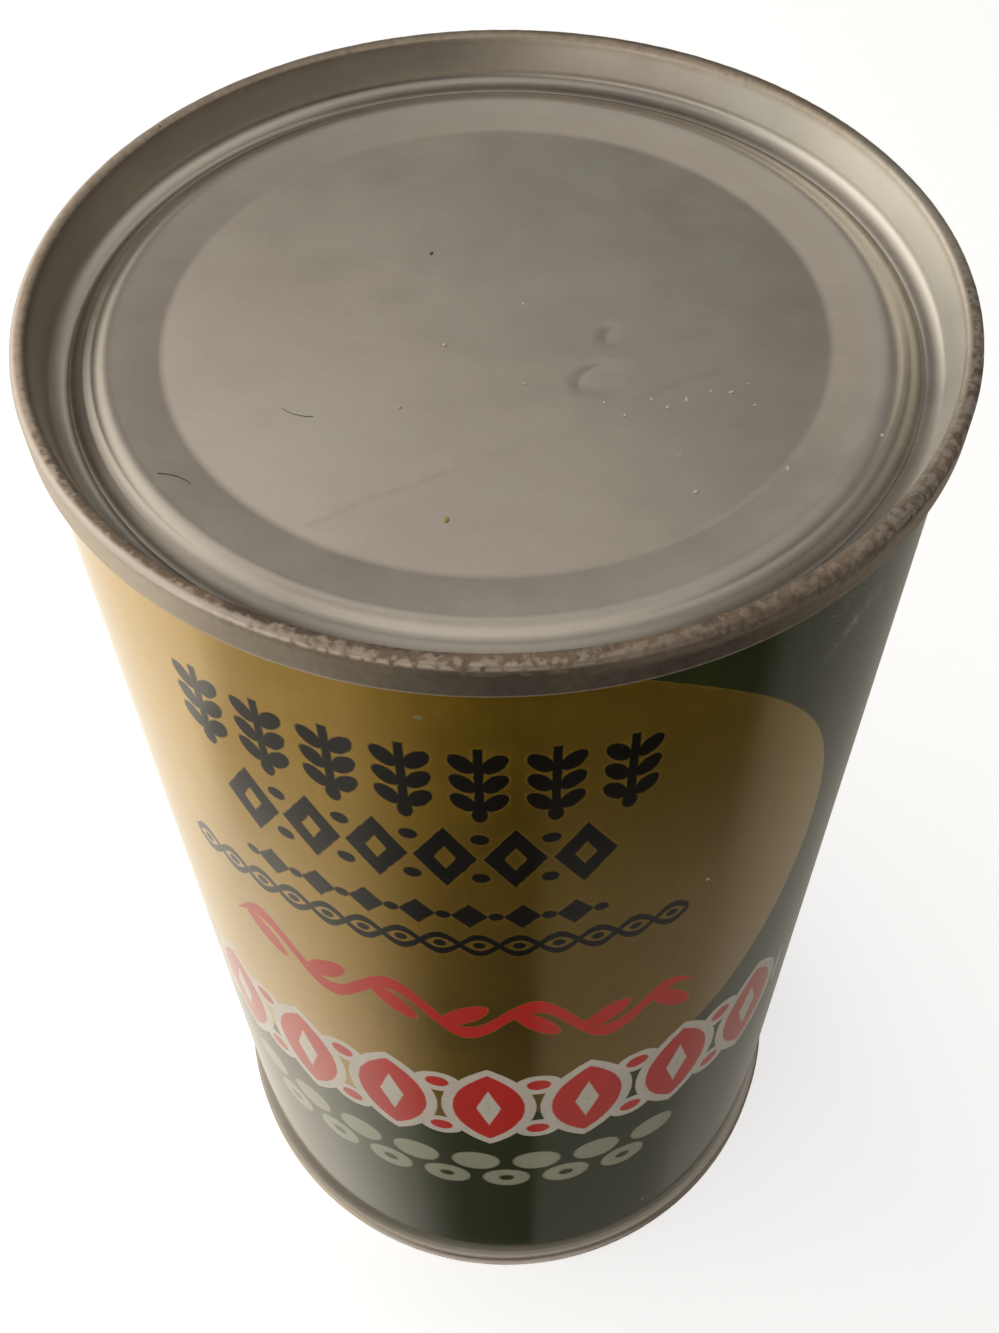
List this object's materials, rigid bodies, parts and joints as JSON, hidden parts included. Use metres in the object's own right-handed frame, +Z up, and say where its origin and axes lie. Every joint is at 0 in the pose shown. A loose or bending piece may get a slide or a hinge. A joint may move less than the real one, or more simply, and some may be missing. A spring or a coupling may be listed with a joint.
{
  "type": "malt beverage can",
  "caption": "Closed straight-sided steel drink can with a printed wall and a flat, double-seamed end above and below, standing on one end.",
  "frame": {"origin": "centre of the circle on which the lower seam's crest rests", "axes": "+Z up along the can's axis; -Y faces the middle of the printed label"},
  "size_m": [0.0683, 0.0682, 0.1222],
  "materials": {
    "printed_wall": "glossy lacquered print in gold and dark green on steel",
    "tinplate": "satin tinplate with rust specks on the seam"
  },
  "bodies": {
    "root": {"can_body": "printed_wall", "upper_end": "tinplate", "lower_end": "tinplate"}
  },
  "joints": []
}
